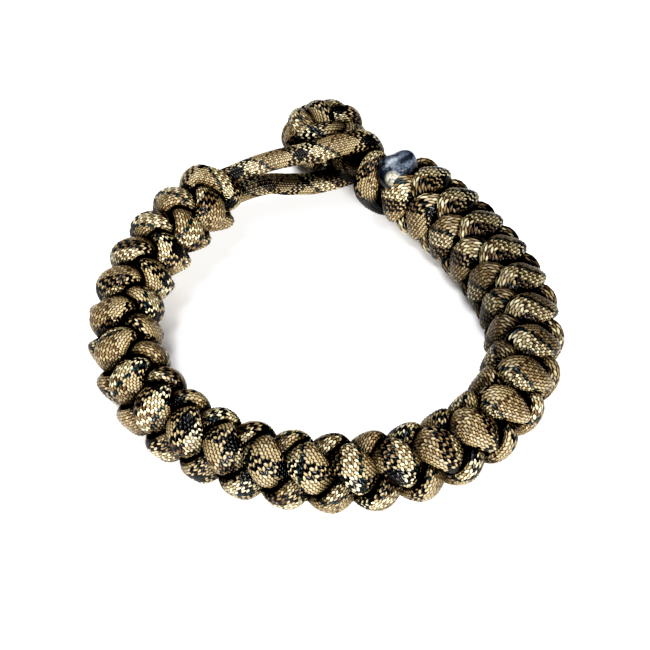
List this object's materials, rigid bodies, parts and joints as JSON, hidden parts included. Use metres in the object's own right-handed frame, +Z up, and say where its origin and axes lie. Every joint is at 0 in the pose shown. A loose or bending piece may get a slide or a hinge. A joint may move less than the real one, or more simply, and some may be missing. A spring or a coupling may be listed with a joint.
{
  "type": "paracord bracelet",
  "caption": "Round-braided camouflage cord bracelet, closed by a cord loop over a woven button knot, with one cord end melted to a lump.",
  "frame": {"origin": "centre of the wrist opening, on the plane that the bracelet rests on", "axes": "+Z up, along the axis of the wrist opening; +Y towards the loop and button at the back; +X to the right seen from the front"},
  "size_m": [0.0787, 0.0873, 0.014],
  "materials": {
    "camo_cord": "woven nylon sheath, slight sheen",
    "melted_nylon": "smooth melted lump"
  },
  "bodies": {
    "root": {"strand_a": "camo_cord", "strand_b": "camo_cord", "strand_c": "camo_cord", "strand_d": "camo_cord", "closure_loop": "camo_cord", "collar": "camo_cord", "end_wrap": "camo_cord", "melted_end": "melted_nylon", "neck_a": "camo_cord", "neck_b": "camo_cord", "button_knot": "camo_cord"}
  },
  "joints": []
}
